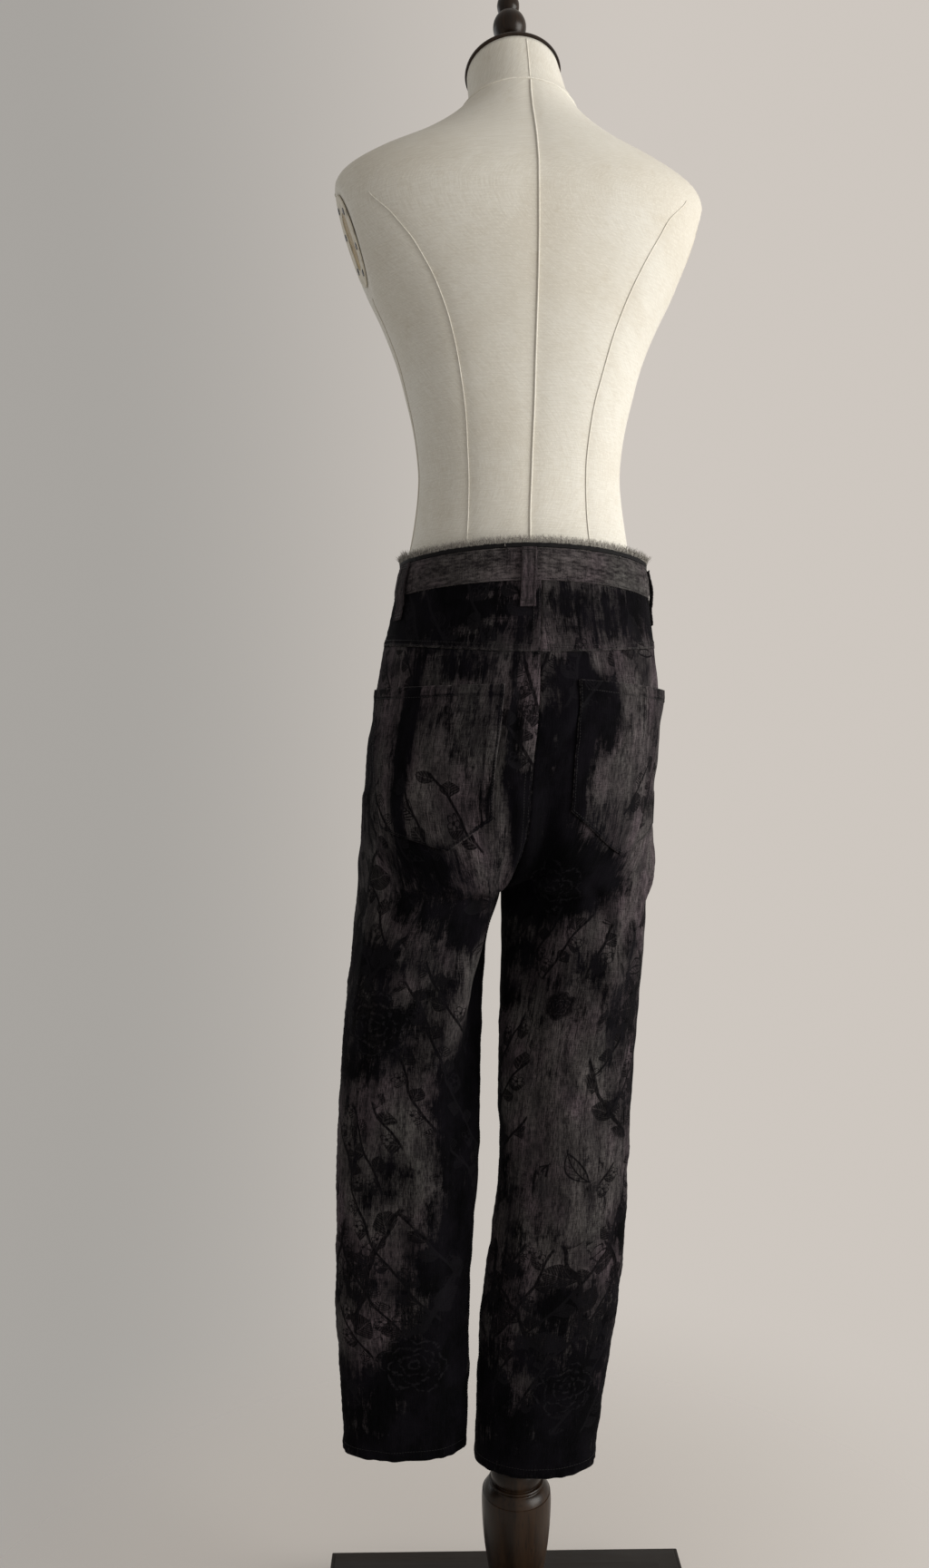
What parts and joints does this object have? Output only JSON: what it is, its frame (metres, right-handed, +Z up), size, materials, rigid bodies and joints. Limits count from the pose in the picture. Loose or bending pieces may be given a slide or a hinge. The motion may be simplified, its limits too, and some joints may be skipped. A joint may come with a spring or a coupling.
{
  "type": "trousers on a dress form",
  "caption": "Dark flower-print denim trousers with back pockets and a frayed waist, on a limbless cloth-covered dress form with a turned wooden stand.",
  "frame": {"origin": "middle of the underside of the square wooden base, on the stand's axis", "axes": "+Z up the stand, +Y the way the trousers' front faces (the form is turned about 7 degrees from it), +X to the wearer's right"},
  "size_m": [0.495, 0.495, 2.0809],
  "materials": {
    "denim": "matte dark printed denim with a twill weave",
    "band_denim": "matte dark denim, folded double",
    "tape": "near-black woven tape",
    "fringe": "frayed grey threads",
    "button_metal": "aged dark metal",
    "canvas": "cream cotton canvas",
    "dark_wood": "dark stained wood, satin varnish",
    "base_wood": "dark stained wood, worn satin varnish",
    "plate_cloth": "cream canvas over a plate",
    "slot_wood": "bare ochre wood"
  },
  "bodies": {
    "root": {"base_slab": "base_wood", "base_panel": "base_wood", "column": "dark_wood", "pole": "dark_wood", "torso": "canvas", "neck_cap": "dark_wood", "finial": "dark_wood", "arm_plate_left": "plate_cloth", "arm_plate_right": "plate_cloth", "arm_inlay_left": "slot_wood", "arm_inlay_right": "slot_wood", "back_leg_left": "denim", "back_leg_right": "denim", "front_leg_left": "denim", "front_leg_right": "denim", "yoke_left": "denim", "yoke_right": "denim", "back_pocket_left": "denim", "back_pocket_right": "denim", "fly": "denim", "waistband": "band_denim", "top_tape": "tape", "top_fringe": "fringe", "loop_back": "band_denim", "loop_left": "band_denim", "loop_right": "band_denim", "loop_front_left": "band_denim", "loop_front_right": "band_denim", "button": "button_metal"}
  },
  "joints": []
}
